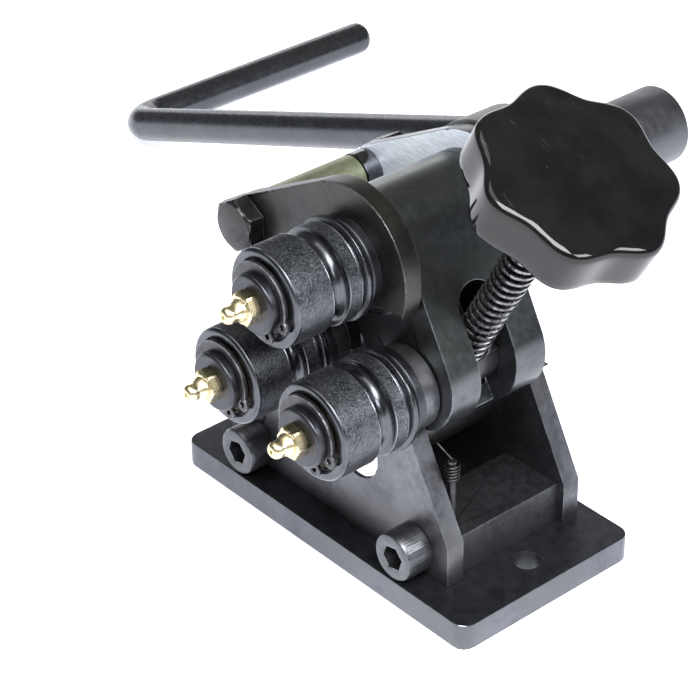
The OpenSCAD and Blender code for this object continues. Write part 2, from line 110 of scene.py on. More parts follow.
def add_sky():
    """A dim room whose pale ceiling is a little brighter than its walls."""
    world = bpy.data.worlds.new("studio")
    bpy.context.scene.world = world
    world.use_nodes = True
    tree = world.node_tree
    tree.nodes.clear()
    where = add(tree, "TexCoord").outputs["Generated"]
    height = add(tree, "SeparateXYZ", {"Vector": where}).outputs["Z"]
    ramp = add(tree, "ValToRGB", {"Fac": height})
    stops = ramp.color_ramp
    stops.elements[0].position = 0.1
    stops.elements[0].color = (0.13, 0.14, 0.16, 1)
    stops.elements[1].position = 0.9
    stops.elements[1].color = (0.24, 0.25, 0.22, 1)
    sky = add(tree, "Background", {"Color": ramp.outputs["Color"], "Strength": 1.0})
    out = add(tree, "OutputWorld")
    tree.links.new(sky.outputs[0], out.inputs["Surface"])


def math_node(tree, operation, a, b=0.0, clamp=False):
    made = add(tree, "Math", {0: a, 1: b}, operation=operation, use_clamp=clamp)
    return made.outputs[0]


def noise(tree, where, size, detail=3.0, rough=0.55, stretch=None):
    """Fractal noise whose features are about size millimetres across, from 0 to 1."""
    if stretch:
        where = add(tree, "VectorMath", {0: where, 1: stretch}, operation="MULTIPLY").outputs[0]
    inputs = {"Vector": where, "Scale": 1 / (size * MM), "Detail": detail, "Roughness": rough}
    return add(tree, "TexNoise", inputs).outputs["Fac"]


def span(tree, value, low, high, to_low=0.0, to_high=1.0):
    """value from low to high becomes to_low to to_high, smoothly, and stays there outside."""
    inputs = {"Value": value, "From Min": low, "From Max": high, "To Min": to_low, "To Max": to_high}
    return add(tree, "MapRange", inputs, interpolation_type="SMOOTHSTEP").outputs[0]


def blend(tree, factor, a, b):
    made = add(tree, "Mix", data_type="RGBA")
    for socket, value in ((made.inputs[0], factor), (made.inputs[6], a), (made.inputs[7], b)):
        if isinstance(value, bpy.types.NodeSocket):
            tree.links.new(value, socket)
        else:
            socket.default_value = value if isinstance(value, (int, float)) else (*value, 1)
    return made.outputs[2]


def edges(tree, radius):
    """1 along the part's sharp edges, 0 on its faces."""
    soft = add(tree, "Bevel", {"Radius": radius * MM}, samples=6).outputs[0]
    flat = add(tree, "NewGeometry").outputs["Normal"]
    facing = add(tree, "VectorMath", {0: soft, 1: flat}, operation="DOT_PRODUCT").outputs["Value"]
    return span(tree, facing, 0.98, 0.9)


def bump(tree, height, depth, strength=1.0, normal=None):
    inputs = {"Height": height, "Distance": depth * MM, "Strength": strength}
    if normal:
        inputs["Normal"] = normal
    return add(tree, "Bump", inputs).outputs[0]


def start_material(name, **uniform):
    """A new material, its node tree, its shader and its own coordinates in metres."""
    material = bpy.data.materials.new(name)
    material.use_nodes = True
    tree = material.node_tree
    shader = tree.nodes["Principled BSDF"]
    for key, value in uniform.items():
        shader.inputs[key.replace("_", " ").title().replace("Ior", "IOR")].default_value = value
    return material, tree, shader, add(tree, "TexCoord").outputs["Object"]


def connect(tree, shader, **sockets):
    for key, socket in sockets.items():
        tree.links.new(socket, shader.inputs[key.replace("_", " ").title()])


# ---- Materials ----

OXIDE_METALLIC = 0.92


def black_oxide(name, dark, light, tint, rough=0.38, grain=(1, 1, 1), worn=0.5,
                worn_colour=(0.34, 0.35, 0.38), relief=0.6):
    """Blackened steel: cloudy, faintly brushed, with pinprick marks and paler worn edges."""
    material, tree, shader, where = start_material(name, metallic=OXIDE_METALLIC, specular_ior_level=0.5)
    cloud = noise(tree, where, 14, 4)
    mottle = noise(tree, where, 1.9, 4, 0.6)
    grit = noise(tree, where, 0.28, 2)
    brush = noise(tree, where, 2.5, 3, 0.6, grain)
    tone = math_node(tree, "ADD", math_node(tree, "MULTIPLY", cloud, 0.6),
                     math_node(tree, "MULTIPLY", mottle, 0.4))
    colour = blend(tree, span(tree, tone, 0.34, 0.66), dark, light)
    colour = blend(tree, span(tree, noise(tree, where, 30, 2), 0.40, 0.64, 0.0, 0.7), colour, tint)
    pale = span(tree, grit, 0.70, 0.80, 0.0, 0.35)
    edge = math_node(tree, "MULTIPLY", edges(tree, 0.5), span(tree, mottle, 0.35, 0.62, 0.15, worn))
    wear = math_node(tree, "MAXIMUM", pale, edge)
    colour = blend(tree, wear, colour, worn_colour)
    patchy = span(tree, math_node(tree, "ADD", mottle, brush), 0.7, 1.3, rough - 0.02, rough + 0.06)
    roughness = math_node(tree, "SUBTRACT", patchy, math_node(tree, "MULTIPLY", wear, 0.1))
    height = math_node(tree, "ADD", math_node(tree, "MULTIPLY", mottle, 0.8),
                       math_node(tree, "ADD", math_node(tree, "MULTIPLY", grit, 0.3), brush))
    connect(tree, shader, base_color=colour, roughness=roughness,
            normal=bump(tree, height, 0.02, relief))
    return material


def face_finish_and_painted_light(material, direction, colour, rough, metal=OXIDE_METALLIC):
    """Faces of a CAD node that look along direction get their own colour, roughness and metalness: used for a
    face's own finish as well as for painted shade and painted reflections on one face.
    """
    tree = material.node_tree
    shader = tree.nodes["Principled BSDF"]
    facing = add(tree, "TexCoord").outputs["Normal"]
    facing = add(tree, "VectorMath", {0: facing, 1: direction}, operation="DOT_PRODUCT").outputs["Value"]
    share = span(tree, facing, 0.90, 0.97)
    old_colour = shader.inputs["Base Color"].links[0].from_socket
    old_rough = shader.inputs["Roughness"].links[0].from_socket
    streak = noise(tree, add(tree, "TexCoord").outputs["Object"], 3.0, 4, 0.6, (1, 1, 6))
    bright = blend(tree, span(tree, streak, 0.3, 0.7), [0.75 * c for c in colour], colour)
    smooth = span(tree, streak, 0.3, 0.7, rough, rough + 0.08)
    mixed = add(tree, "Mix", {0: share, 2: old_rough, 3: smooth}).outputs[0]
    connect(tree, shader, base_color=blend(tree, share, old_colour, bright), roughness=mixed,
            metallic=span(tree, share, 0.0, 1.0, OXIDE_METALLIC, metal))


def turned_steel(name, dark, light, rough=0.3, ring=0.35, worn=0.7, axis_at=(0, 0, 0), along_y=False):
    """Lathe-turned steel: fine rings about the axis, on faces and on round sides."""
    material, tree, shader, where = start_material(name, metallic=0.95)
    local = add(tree, "VectorMath", {0: where, 1: axis_at}, operation="SUBTRACT").outputs[0]
    parts = add(tree, "SeparateXYZ", {"Vector": local}).outputs
    length, across = (parts["Y"], parts["Z"]) if along_y else (parts["Z"], parts["Y"])
    flat = add(tree, "CombineXYZ", {"X": parts["X"], "Y": across}).outputs[0]
    radius = add(tree, "VectorMath", {0: flat}, operation="LENGTH").outputs["Value"]
    groove_at = add(tree, "CombineXYZ", {"X": radius, "Y": length}).outputs[0]
    grooves = noise(tree, groove_at, ring, 3, 0.6)
    cloud = noise(tree, where, 6, 4)
    grit = noise(tree, where, 0.3, 2)
    tone = math_node(tree, "ADD", math_node(tree, "MULTIPLY", grooves, 0.5),
                     math_node(tree, "MULTIPLY", cloud, 0.5))
    colour = blend(tree, span(tree, tone, 0.36, 0.64), dark, light)
    edge = math_node(tree, "MULTIPLY", edges(tree, 0.35), span(tree, cloud, 0.3, 0.6, 0.3, worn))
    wear = math_node(tree, "MAXIMUM", edge, span(tree, grit, 0.72, 0.8, 0.0, 0.3))
    colour = blend(tree, wear, colour, (0.55, 0.56, 0.6))
    roughness = span(tree, tone, 0.35, 0.65, rough - 0.08, rough + 0.1)
    connect(tree, shader, base_color=colour, roughness=roughness,
            normal=bump(tree, grooves, 0.012, 0.8))
    return material


def radius_from_axis(tree, where):
    """Distance from the piece's own Z axis, in metres."""
    parts = add(tree, "SeparateXYZ", {"Vector": where}).outputs
    flat = add(tree, "CombineXYZ", {"X": parts["X"], "Y": parts["Y"]}).outputs[0]
    return add(tree, "VectorMath", {0: flat}, operation="LENGTH").outputs["Value"]


def knurled_steel():
    """Satin black valleys under points that the tube and hands have rubbed paler."""
    material, tree, shader, where = start_material("knurled_steel", metallic=0.9)
    point = span(tree, radius_from_axis(tree, where), (ROLLER_R - 0.10) * MM, (ROLLER_R - 0.02) * MM)
    cloud = noise(tree, where, 3.5, 4)
    grit = noise(tree, where, 0.5, 3, 0.7)
    colour = blend(tree, span(tree, cloud, 0.35, 0.65), (0.036, 0.038, 0.043), (0.066, 0.069, 0.078))
    rubbed = math_node(tree, "MULTIPLY", point, span(tree, grit, 0.42, 0.62, 0.0, 0.9))
    colour = blend(tree, rubbed, colour, (0.28, 0.29, 0.32))
    roughness = span(tree, grit, 0.3, 0.7, 0.30, 0.52)
    connect(tree, shader, base_color=colour, roughness=roughness, normal=bump(tree, grit, 0.06, 0.8))
    return material


def screw_steel():
    """Oiled black thread whose crests have been rubbed bright by the nut."""
    material, tree, shader, where = start_material("screw_steel", metallic=0.95)
    crest = span(tree, radius_from_axis(tree, where), (SCREW_R - 0.45) * MM, (SCREW_R - 0.03) * MM)
    mottle = noise(tree, where, 0.9, 4, 0.6)
    colour = blend(tree, span(tree, mottle, 0.35, 0.65), (0.018, 0.018, 0.019), (0.05, 0.05, 0.053))
    rubbed = math_node(tree, "MULTIPLY", crest, span(tree, mottle, 0.3, 0.6, 0.25, 0.85))
    colour = blend(tree, rubbed, colour, (0.27, 0.27, 0.285))
    roughness = span(tree, mottle, 0.3, 0.7, 0.16, 0.34)
    connect(tree, shader, base_color=colour, roughness=roughness, normal=bump(tree, mottle, 0.02, 0.6))
    return material


def bright_metal(name, dark, light, rough=0.2, size=2.0):
    """Uncoated brass, bronze or ground steel: tarnish in soft patches and hairline marks."""
    material, tree, shader, where = start_material(name, metallic=1.0)
    patch = noise(tree, where, size, 4, 0.6)
    hair = noise(tree, where, 1.2, 3, 0.6, (1, 12, 1))
    tone = math_node(tree, "ADD", math_node(tree, "MULTIPLY", patch, 0.6),
                     math_node(tree, "MULTIPLY", hair, 0.4))
    colour = blend(tree, span(tree, tone, 0.36, 0.64), dark, light)
    roughness = span(tree, tone, 0.35, 0.65, rough + 0.12, rough)
    connect(tree, shader, base_color=colour, roughness=roughness, normal=bump(tree, hair, 0.01, 0.7))
    return material


def gloss_plastic():
    """Moulded black plastic: high gloss, a little orange peel, dust and handling scratches."""
    material, tree, shader, where = start_material("gloss_plastic", metallic=0.0, specular_ior_level=0.36)
    peel = noise(tree, where, 3.2, 2)
    dust = noise(tree, where, 0.5, 2)
    smear = noise(tree, where, 11, 4, 0.6)
    scratch = noise(tree, where, 3.0, 2, 0.5, (0.25, 9, 1))
    mark = math_node(tree, "MULTIPLY", span(tree, scratch, 0.70, 0.76), span(tree, smear, 0.45, 0.6))
    speck = span(tree, dust, 0.76, 0.80)
    pale = math_node(tree, "MAXIMUM", math_node(tree, "MULTIPLY", mark, 0.25),
                     math_node(tree, "MULTIPLY", speck, 0.4))
    colour = blend(tree, span(tree, smear, 0.35, 0.65), (0.003, 0.003, 0.0035), (0.006, 0.0065, 0.006))
    colour = blend(tree, pale, colour, (0.22, 0.22, 0.21))
    roughness = span(tree, smear, 0.3, 0.7, 0.055, 0.07)
    roughness = math_node(tree, "ADD", roughness, math_node(tree, "MULTIPLY", pale, 0.5))
    connect(tree, shader, base_color=colour, roughness=roughness, normal=bump(tree, peel, 0.012, 0.3))
    return material


# ---- Mesh helpers ----

def ring(radius, z, count, shape=None):
    """One ring of points at height z; shape(angle, radius, z) may change its radius."""
    points = []
    for i in range(count):
        a = 2 * math.pi * i / count
        r = shape(a, radius, z) if shape else radius
        points.append((r * math.cos(a), r * math.sin(a), z))
    return points


def lathe(profile, count, shape=None):
    return [ring(r, z, count, shape) for r, z in profile]


def skin(rings, closed=False):
    """Points and faces through rings of equal length, capped at its ends or joined end to end."""
    count = len(rings[0])
    points = [p for one in rings for p in one]
    faces = []
    last = len(rings) if closed else len(rings) - 1
    for j in range(last):
        low, high = j * count, ((j + 1) % len(rings)) * count
        for i in range(count):
            k = (i + 1) % count
            faces.append((low + i, low + k, high + k, high + i))
    if not closed:
        faces.append(tuple(reversed(range(count))))
        faces.append(tuple(range(len(points) - count, len(points))))
    return points, faces


def merge(*solids):
    """Several (points, faces) solids as one."""
    points, faces = [], []
    for some_points, some_faces in solids:
        start = len(points)
        points += some_points
        faces += [tuple(i + start for i in face) for face in some_faces]
    return points, faces


def make_piece(name, solid, matrix, body, materials, replaced, second=None, smooth=40, crisp=None):
    """A finished piece: second(centre) picks faces for the second material, crisp(centre) flat ones."""
    points, faces = solid
    mesh = bpy.data.meshes.new(name)
    mesh.from_pydata([Vector(p) * MM for p in points], [], faces)
    for material in materials:
        mesh.materials.append(material)
    for face in mesh.polygons:
        centre = face.center / MM
        face.use_smooth = not (crisp and crisp(centre))
        if second and second(centre):
            face.material_index = 1
    mesh.set_sharp_from_angle(angle=math.radians(smooth))
    mesh.validate()
    piece = bpy.data.objects.new(name, mesh)
    piece.matrix_world = matrix
    bpy.context.scene.collection.objects.link(piece)
    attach(piece, body)
    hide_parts(*replaced)
    return piece


def arc(centre_r, centre_z, radius, from_deg, to_deg, steps):
    """Points on a circle in a profile, as (r, z)."""
    angles = [from_deg + (to_deg - from_deg) * i / steps for i in range(steps + 1)]
    return [(centre_r + radius * math.cos(math.radians(a)), centre_z + radius * math.sin(math.radians(a)))
            for a in angles]


def hexagon(flats, turned=0.0):
    """A shape() for ring(): keeps a turned profile inside a hexagon that many millimetres across flats."""
    def shape(a, r, z):
        off = (a - turned + math.pi / 6) % (math.pi / 3) - math.pi / 6
        return min(r, flats / 2 / math.cos(off))
    return shape


def smoothing_group():
    """A node group that shades a mesh smooth, but for its edges sharper than 38 degrees."""
    group = bpy.data.node_groups.new("smooth_by_angle", "GeometryNodeTree")
    for side in ("INPUT", "OUTPUT"):
        group.interface.new_socket("Geometry", in_out=side, socket_type="NodeSocketGeometry")
    nodes, links = group.nodes, group.links
    source = nodes.new("NodeGroupInput")
    clear = nodes.new("GeometryNodeRemoveAttribute")
    clear.inputs["Name"].default_value = "custom_normal"
    smooth = nodes.new("GeometryNodeSetShadeSmooth")
    sharp = nodes.new("GeometryNodeSetShadeSmooth")
    sharp.domain = "EDGE"
    angle = nodes.new("GeometryNodeInputMeshEdgeAngle")
    under = nodes.new("FunctionNodeCompare")
    under.operation = "LESS_THAN"
    under.inputs[1].default_value = math.radians(38)
    out = nodes.new("NodeGroupOutput")
    links.new(source.outputs[0], clear.inputs[0])
    links.new(clear.outputs[0], smooth.inputs[0])
    links.new(smooth.outputs[0], sharp.inputs[0])
    links.new(angle.outputs[0], under.inputs[0])
    links.new(under.outputs[0], sharp.inputs["Shade Smooth"])
    links.new(sharp.outputs[0], out.inputs[0])
    return group


SMOOTHING = smoothing_group()


def finish_node(name, material, edge=0.3, steps=2):
    """Gives a CAD node its material and rounds its sharp edges by edge millimetres; 0 leaves them sharp."""
    node = frame["nodes"][name]
    node.data.materials.clear()
    node.data.materials.append(material)
    weld = node.modifiers.new("weld", "WELD")
    weld.merge_threshold = 0.002 * MM
    if edge:
        bevel = node.modifiers.new("edges", "BEVEL")
        bevel.width = edge * MM
        bevel.segments = steps
        bevel.limit_method = "ANGLE"
        bevel.angle_limit = math.radians(38)
        bevel.use_clamp_overlap = False
    shade = node.modifiers.new("shade", "NODES")
    shade.node_group = SMOOTHING
    weights = node.modifiers.new("normals", "WEIGHTED_NORMAL")
    weights.keep_sharp = True


# ---- Rollers ----

ROLLER_R = 12.7
ROLLER_LENGTH = 23.1
GROOVE_AT = 13.55
GROOVE_R = 2.45
RIM_R = 13.4
KNURL_PITCH = 0.25
KNURL_DEPTH = 0.14
KNURL_COUNT = 320


def along_y(x, y, z):
    """A place whose local Z runs to +Y."""
    return Matrix.Translation((x, y, z)) @ turn(-90, "X")


def knurl_rows(z0, z1):
    rows = round((z1 - z0) / KNURL_PITCH)
    return [z0 + (z1 - z0) * i / rows for i in range(rows + 1)]


def roller_rings(bore_r):
    """A roller's closed profile from its bore, round the front, over the lands and back."""
    front_land = knurl_rows(1.0, GROOVE_AT - GROOVE_R - 0.35)
    rear_land = knurl_rows(GROOVE_AT + GROOVE_R + 0.35, ROLLER_LENGTH - 3.5)
    v_at = ROLLER_LENGTH - 2.5
    rings = lathe([(bore_r, 0.85), (bore_r + 0.25, 0.6), (9.8, 0.6), (9.9, 0.5), (10.0, 0.15), (10.2, 0),
                   (ROLLER_R - 0.85, 0), (ROLLER_R - 0.62, 0.08), (ROLLER_R - 0.12, 0.6),
                   (ROLLER_R - 0.05, 0.8)], KNURL_COUNT)

    def knurl(rows):
        uneven = random.Random(5)
        made = []
        for j, z in enumerate(rows):
            edge_row = j in (0, len(rows) - 1)
            made.append([])
            for i in range(KNURL_COUNT):
                a = 2 * math.pi * i / KNURL_COUNT
                cut = 0.5 if edge_row else (i + j) % 2 * uneven.uniform(0.6, 1.0) + uneven.uniform(0, 0.25)
                r = ROLLER_R - KNURL_DEPTH * cut
                made[-1].append((r * math.cos(a), r * math.sin(a), z))
        return made

    groove = arc(ROLLER_R - 0.2, GROOVE_AT, GROOVE_R, 270, 90, 18)
    rear = [(ROLLER_R, v_at - 0.85), (ROLLER_R - 0.05, v_at - 0.7), (ROLLER_R - 0.85, v_at - 0.05),
            (ROLLER_R - 0.85, v_at + 0.1), (RIM_R - 0.28, v_at + 0.5), (RIM_R - 0.08, v_at + 0.6),
            (RIM_R, v_at + 0.75), (RIM_R, v_at + 1.5), (RIM_R - 0.1, v_at + 1.72),
            (RIM_R - 0.35, v_at + 1.85),
            (ROLLER_R - 0.3, ROLLER_LENGTH), (bore_r, ROLLER_LENGTH)]
    rings += knurl(front_land)
    rings += lathe([(ROLLER_R - 0.02, GROOVE_AT - GROOVE_R - 0.15)] + groove
                   + [(ROLLER_R - 0.02, GROOVE_AT + GROOVE_R + 0.15)], KNURL_COUNT)
    rings += knurl(rear_land)
    rings += lathe(rear, KNURL_COUNT)
    return rings


def is_knurl(centre):
    """True on the two knurled lands."""
    z = centre.z
    on_land = 1.0 < z < GROOVE_AT - GROOVE_R - 0.35 or GROOVE_AT + GROOVE_R + 0.35 < z < ROLLER_LENGTH - 3.5
    return on_land and math.hypot(centre.x, centre.y) > ROLLER_R - 0.3


def add_rollers(knurled, polished):
    for side, body in (("top", "drive"), ("left", "left_idler"), ("right", "right_idler")):
        low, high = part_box(side + "_roller")
        bush = side + "_roller_bush"
        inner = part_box(bush if side != "top" else "drive_shaft")
        bore_r = (inner[1].x - inner[0].x) / 2 / MM if side != "top" else SHAFT_R
        place = along_y((low.x + high.x) / 2, low.y, (low.z + high.z) / 2)
        make_piece(side + "_roller_knurled", skin(roller_rings(bore_r), closed=True), place, body,
                   [polished, knurled], [side + "_roller"], second=is_knurl, crisp=is_knurl)


# ---- Adjusting screw ----

SCREW_R = 4.8
THREAD_PITCH = 2.54
THREAD_ROOT_R = 3.45
THREAD_COLUMNS = 56
THREAD_ROWS = 12
JOURNAL_R = 4.0


def thread_radius(phase):
    """A trapezium thread with rounded corners: root, flank, crest, flank."""
    distance = abs(phase % 1.0 - 0.5)
    rise = min(1.0, max(0.0, (0.36 - distance) / 0.20))
    rise = rise * rise * (3 - 2 * rise)
    return THREAD_ROOT_R + (SCREW_R - THREAD_ROOT_R) * rise


def threaded_rod(z0, z1):
    """Rows of points that follow the helix, flattened where they pass either end."""
    turns = int((z1 - z0) / THREAD_PITCH) + 2
    rows = turns * THREAD_ROWS + 1
    points, faces, seen = [], [], {}

    def point(i, j):
        wrapped, lifted = i % THREAD_COLUMNS, j + THREAD_ROWS * (i // THREAD_COLUMNS)
        a = 2 * math.pi * wrapped / THREAD_COLUMNS
        z = z0 - THREAD_PITCH + THREAD_PITCH * (lifted / THREAD_ROWS + wrapped / THREAD_COLUMNS)
        inside = min(max(z, z0), z1)
        ramp = min(1.0, (inside - z0) / 1.2, (z1 - inside) / 1.2)
        r = min(thread_radius(lifted / THREAD_ROWS), THREAD_ROOT_R + (SCREW_R - THREAD_ROOT_R) * ramp)
        key = (wrapped, "low" if z <= z0 else "high" if z >= z1 else lifted)
        if key not in seen:
            seen[key] = len(points)
            points.append((r * math.cos(a), r * math.sin(a), inside))
        return seen[key]

    for j in range(rows):
        for i in range(THREAD_COLUMNS):
            corners = [point(i, j), point(i + 1, j), point(i + 1, j + 1), point(i, j + 1)]
            corners = [c for k, c in enumerate(corners) if c != corners[k - 1]]
            if len(set(corners)) > 2:
                faces.append(tuple(corners))
    faces.append(tuple(seen[(i, "low")] for i in reversed(range(THREAD_COLUMNS))))
    faces.append(tuple(seen[(i, "high")] for i in range(THREAD_COLUMNS)))
    return points, faces


def along_screw():
    """The screw's own frame: origin at the anchor, Z up the screw, X to the right of its lean."""
    joint = JOINTS["knob_turn"]
    lean = math.atan2(joint["axis"][0], joint["axis"][2])
    return Matrix.Translation(joint["pos_m"]) @ Matrix.Rotation(lean, 4, "Y")


def add_screw(material):
    journal = lathe([(JOURNAL_R - 0.7, -13), (JOURNAL_R, -12.3), (JOURNAL_R, 8.2),
                     (JOURNAL_R - 0.4, 8.6)], 48)
    rod = threaded_rod(8.0, KNOB_UNDER + 7.5)
    make_piece("adjusting_screw_thread", merge(skin(journal), rod), along_screw(), "screw",
               [material], ["adjusting_screw"], smooth=60)


# ---- Star knob ----

KNOB_RIM = 106.5
KNOB_WALL = 12.6
KNOB_UNDER = KNOB_RIM - KNOB_WALL
KNOB_TIP_R = 25.2
KNOB_HOLLOW_R = 22.6
KNOB_DOME = 3.0
KNOB_LOBES = 7
KNOB_TURN = 7.7
KNOB_EDGE = 2.4
KNOB_ROLL = 4.2
KNOB_ROLL_POWER = 1.15
KNOB_EDGE_POWER = 1.25
KNOB_DRAFT = 0.12
KNOB_COUNT = 336


def knob_outline(a, inset=0.0):
    wave = math.cos(KNOB_LOBES * (a - math.radians(KNOB_TURN)))
    return (KNOB_TIP_R + KNOB_HOLLOW_R) / 2 + (KNOB_TIP_R - KNOB_HOLLOW_R) / 2 * wave - inset


def knob_ring(inset, z, share=1.0):
    """A ring inset from the lobed outline; a share below 1 draws it in and rounds off the lobes."""
    points = []
    for i in range(KNOB_COUNT):
        a = 2 * math.pi * i / KNOB_COUNT
        lobed = knob_outline(a, inset)
        plain = (KNOB_TIP_R + KNOB_HOLLOW_R) / 2 - inset
        r = share * (lobed * share + plain * (1 - share))
        points.append((r * math.cos(a), r * math.sin(a), z))
    return points


def knob_rings():
    top, low = KNOB_RIM, KNOB_UNDER
    boss_r, web = 9.5, 1.6
    rings = [ring(r, z, KNOB_COUNT) for r, z in ((7.02, low + 9.0), (7.02, low + 0.4), (7.4, low),
                                               (boss_r - 0.4, low), (boss_r, low + 0.4), (boss_r, low + web))]
    rings += [knob_ring(3.4, low + web, 0.98), knob_ring(2.9, low + web), knob_ring(2.6, low + web - 0.3),
              knob_ring(2.6, low + 0.5), knob_ring(2.1, low), knob_ring(0.9, low), knob_ring(0.5, low + 0.1),
              knob_ring(0.25, low + 0.35), knob_ring(KNOB_DRAFT, low + 0.8)]
    wall = KNOB_WALL - KNOB_EDGE - 0.8
    rings += [knob_ring(KNOB_DRAFT * (1 - k / 6), low + 0.8 + wall * k / 6) for k in range(1, 7)]
    for k in range(1, 10):
        a = math.radians(90 * k / 9)
        rings.append(knob_ring(KNOB_ROLL * (1 - math.cos(a)) ** KNOB_ROLL_POWER,
                               top - KNOB_EDGE * (1 - math.sin(a)) ** KNOB_EDGE_POWER))
    for k in range(1, 15):
        share = 1 - k / 15
        rings.append(knob_ring(KNOB_ROLL, top + KNOB_DOME * (1 - share ** 2.0), share))
    rings.append(ring(0.35, top + KNOB_DOME, KNOB_COUNT))
    return rings


def add_knob(material):
    rings = knob_rings()
    points, faces = skin(rings)
    make_piece("star_knob_moulding", (points, faces), along_screw(), "screw",
               [material], ["star_knob"], smooth=50)


# ---- Grease nipples, hinge bolt and spring ----

SHAFT_R = 7.7
NIPPLE_FLATS = 7.5


def add_nipples(material):
    """A hexagon with chamfered corners, a tapered neck and a rounded tip with its hole."""
    hex_rings = lathe([(3.0, -4.8), (3.0, -0.05), (3.9, 0), (4.2, 0.25), (4.33, 0.5), (4.33, 2.5),
                       (4.15, 2.85), (3.5, 3.2)], 96, hexagon(NIPPLE_FLATS, math.radians(30)))
    neck = [(2.95, 3.25), (2.9, 3.55), (2.62, 4.2), (2.4, 4.8), (2.28, 5.2), (2.22, 5.5), (2.21, 5.8)]
    tip = [(2.23, 6.1), (2.22, 6.5), (2.16, 6.9), (2.02, 7.3), (1.8, 7.7), (1.5, 8.0), (1.1, 8.17)]
    hole = [(0.7, 8.2), (0.5, 8.1), (0.45, 7.7)]
    stem = neck + tip + hole
    for side, body in (("top", "drive"), ("left", "frame"), ("right", "frame")):
        low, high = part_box(side + "_grease_nipple")
        shaft_low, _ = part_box("drive_shaft" if side == "top" else side + "_roller_shaft")
        place = Matrix.Translation(((low.x + high.x) / 2, shaft_low.y, (low.z + high.z) / 2)) @ turn(90, "X")
        make_piece(side + "_grease_nipple_turned", skin(hex_rings + lathe(stem, 96)), place, body,
                   [material], [side + "_grease_nipple"], smooth=32)


def add_hinge_bolt(material):
    """An M8 hexagon head with a washer face and chamfered corners, its shank and a chamfered tail."""
    low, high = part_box("hinge_bolt")
    nut_low, nut_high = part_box("hinge_nut")
    head_top, flats = 5.2, 13.0
    length = (high.y - low.y) / MM
    head = lathe([(0.2, 0), (5.9, 0), (6.25, 0.12), (7.1, 0.62), (7.6, 1.0), (7.7, 4.85)],
                 120, hexagon(flats))
    washer = lathe([(5.9, 4.85), (5.9, head_top)], 120)
    shank = lathe([(3.95, head_top - 0.1), (3.95, length - 0.9), (3.3, length)], 120)
    place = along_y((low.x + high.x) / 2, low.y, (low.z + high.z) / 2)
    make_piece("hinge_bolt_hexagon", skin(head + washer + shank), place, "arm",
               [material], ["hinge_bolt"], smooth=30)
    nut_h = (nut_high.y - nut_low.y) / MM
    nut = lathe([(3.98, 0.4), (4.3, 0), (5.9, 0), (5.9, 0.35), (7.7, 0.35), (7.7, nut_h - 0.9),
                 (7.1, nut_h - 0.5), (6.2, nut_h), (4.4, nut_h), (3.98, nut_h - 0.4)], 120, hexagon(flats))
    place = along_y((low.x + high.x) / 2, nut_low.y, (low.z + high.z) / 2)
    make_piece("hinge_nut_hexagon", skin(nut, closed=True), place, "arm",
               [material], ["hinge_nut"], smooth=30)


def swept(path, radius, sides=14):
    """A round wire along a path, whose ends are a little rounded."""
    rings = []
    across = Vector((0, 0, 1))
    for i, here in enumerate(path):
        ahead = path[min(i + 1, len(path) - 1)] - path[max(i - 1, 0)]
        ahead.normalize()
        across = (across - ahead * across.dot(ahead))
        if across.length < 0.05:
            across = ahead.orthogonal()
        across.normalize()
        other = ahead.cross(across)
        r = radius * (0.72 if i in (0, len(path) - 1) else 1.0)
        rings.append([tuple(here + r * (math.cos(a) * across + math.sin(a) * other))
                      for a in (2 * math.pi * k / sides for k in range(sides))])
    return skin(rings)


SPRING_TURNS = 5
SPRING_COIL_R = 1.7
SPRING_WIRE = 0.7
SPRING_START = math.radians(139.5)


def add_spring(material):
    """A torsion spring: a leg up from the bar, its coil, and a leg that rests on the side plate."""
    low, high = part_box("torsion_spring")
    pin_low, pin_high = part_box("spring_pin")
    centre = ((pin_low.x + pin_high.x) / 2, (pin_low.y + pin_high.y) / 2)
    foot = 18.8
    coil_low, coil_high = 33.4, 38.0
    start = SPRING_COIL_R * Vector((math.cos(SPRING_START), math.sin(SPRING_START), 0))
    path = [start + Vector((0, 0, foot + (coil_low - 0.6 - foot) * k / 6)) for k in range(7)]
    steps = 24
    for k in range(SPRING_TURNS * steps + 1):
        a = SPRING_START + 2 * math.pi * k / steps
        path.append(Vector((SPRING_COIL_R * math.cos(a), SPRING_COIL_R * math.sin(a),
                            coil_low + (coil_high - coil_low) * k / (SPRING_TURNS * steps))))
    for k in range(1, 7):
        share = k / 6
        path.append(start + Vector((0, 0, coil_high)) + share * Vector((-4.4, -1.0, 3.1)))
    place = Matrix.Translation((centre[0], centre[1], 0))
    make_piece("torsion_spring_wire", swept(path, SPRING_WIRE / 2), place, "frame",
               [material], ["torsion_spring"], smooth=60)


# ---- Socket screws with knurled heads ----

def socket_screw(head_r, head_h, shank_r, shank_h, socket, teeth):
    """A socket head cap screw: a straight knurled head, a hexagon socket and a shank down local -Z."""
    def ribs(a, r, z):
        return r - 0.006 * head_r * (1 - abs(math.cos(teeth * a / 2)))

    count = teeth * 4
    socket_r = socket / 2 / math.cos(math.radians(30))
    depth = head_h * 0.55
    outer = lathe([(shank_r - 0.5, -shank_h), (shank_r, -shank_h + 0.5), (shank_r, 0),
                   (head_r - 0.25, 0)], count)
    outer += lathe([(head_r, 0.25), (head_r, head_h - 1.0)], count, ribs)
    outer += lathe([(head_r - 0.1, head_h - 0.85), (head_r - 0.28, head_h - 0.3), (head_r - 0.75, head_h),
                    (socket_r + 0.35, head_h)], count)
    outer += lathe([(socket_r + 0.1, head_h - 0.25), (socket_r, head_h - 0.45), (socket_r, head_h - depth)],
                   count, hexagon(socket, math.radians(30)))
    outer += lathe([(socket * 0.25, head_h - depth - socket * 0.14),
                    (0.05, head_h - depth - socket * 0.2)], count)
    return skin(outer)


